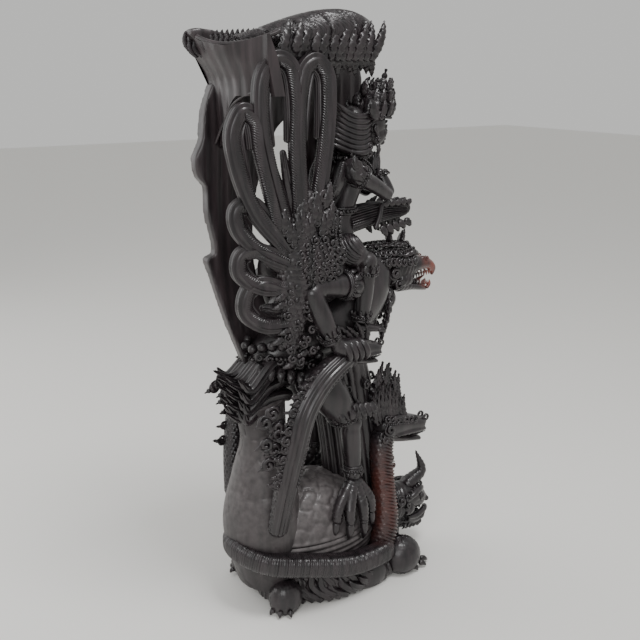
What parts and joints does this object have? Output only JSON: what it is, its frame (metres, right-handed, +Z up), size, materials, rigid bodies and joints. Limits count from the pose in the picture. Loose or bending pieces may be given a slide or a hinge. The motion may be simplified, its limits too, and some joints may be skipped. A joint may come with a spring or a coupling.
{
  "type": "carved ebony sculpture of a crowned rider on a bird mount",
  "caption": "Tall dark ebony carving: a crowned rider on a winged bird mount with serpents, standing on a horned turtle base under a leafy hood.",
  "frame": {"origin": "middle of the plan of the whole carving, on the flat underside of its base", "axes": "+Z up, -Y the way the figures face, -X the side of the pierced wing"},
  "size_m": [0.1546, 0.2904, 0.64],
  "materials": {
    "ebony": "near-black oiled ebony, semi-gloss on the raised carving, faint upright grain on the smooth panel"
  },
  "bodies": {
    "root": {"carving": "ebony"}
  },
  "joints": []
}
